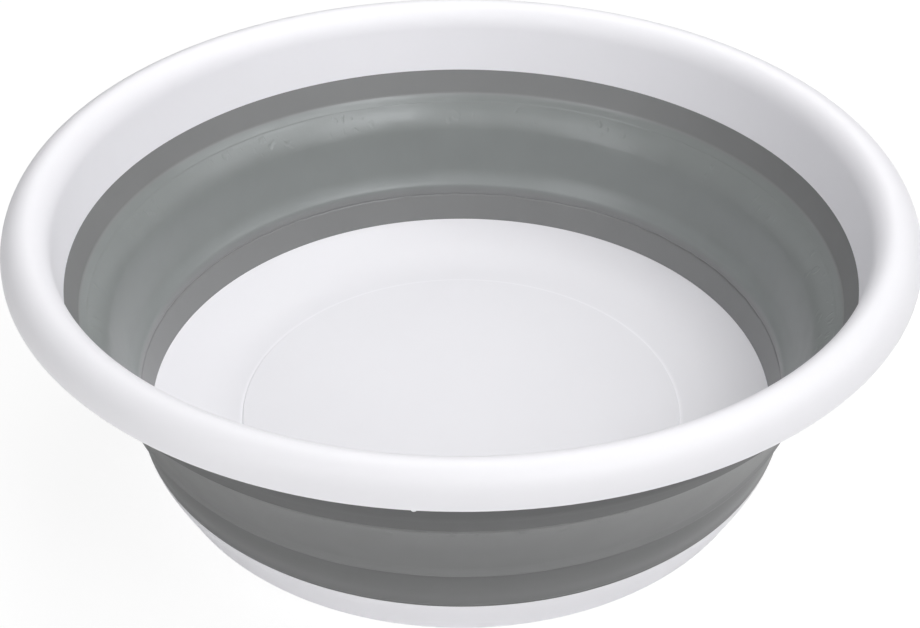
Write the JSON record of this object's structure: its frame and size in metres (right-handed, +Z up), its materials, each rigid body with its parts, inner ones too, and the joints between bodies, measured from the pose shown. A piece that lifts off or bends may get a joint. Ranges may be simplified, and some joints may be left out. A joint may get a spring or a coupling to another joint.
{
  "type": "folding basin",
  "caption": "Round folding basin: a stiff white rolled rim and a stiff white footed base joined by a soft grey wall that folds down flat between them.",
  "frame": {"origin": "on the basin's axis, in the plane that its foot stands on", "axes": "+Z up through the mouth; the basin is round about Z, so +X and +Y are free choices"},
  "size_m": [0.37, 0.37, 0.1205],
  "materials": {
    "rim_plastic": "smooth, softly glossy white polypropylene",
    "base_plastic": "satin white polypropylene",
    "wall_rubber": "satin mid-grey moulded thermoplastic rubber",
    "fold_rubber": "satin mid-grey moulded thermoplastic rubber, thin and soft"
  },
  "bodies": {
    "base": {"base": "base_plastic", "lower_wall_band": "wall_rubber", "lower_fold_ring": "fold_rubber"},
    "middle_band": {"middle_wall_band": "wall_rubber"},
    "rim": {"rim": "rim_plastic", "upper_wall_band": "wall_rubber", "upper_fold_ring": "fold_rubber"}
  },
  "joints": [
    {"name": "collapse", "type": "slide", "parent": "base", "child": "rim", "axis": [0, 0, 1], "range_m": [-0.07, 0], "deforming": ["upper_fold_ring", "lower_fold_ring"]},
    {"name": "middle_slide", "type": "slide", "parent": "base", "child": "middle_band", "axis": [0, 0, 1], "range_m": [-0.035, 0]}
  ],
  "couplings": [
    {"joint": "middle_slide", "follows": "collapse", "ratio": 0.5}
  ]
}
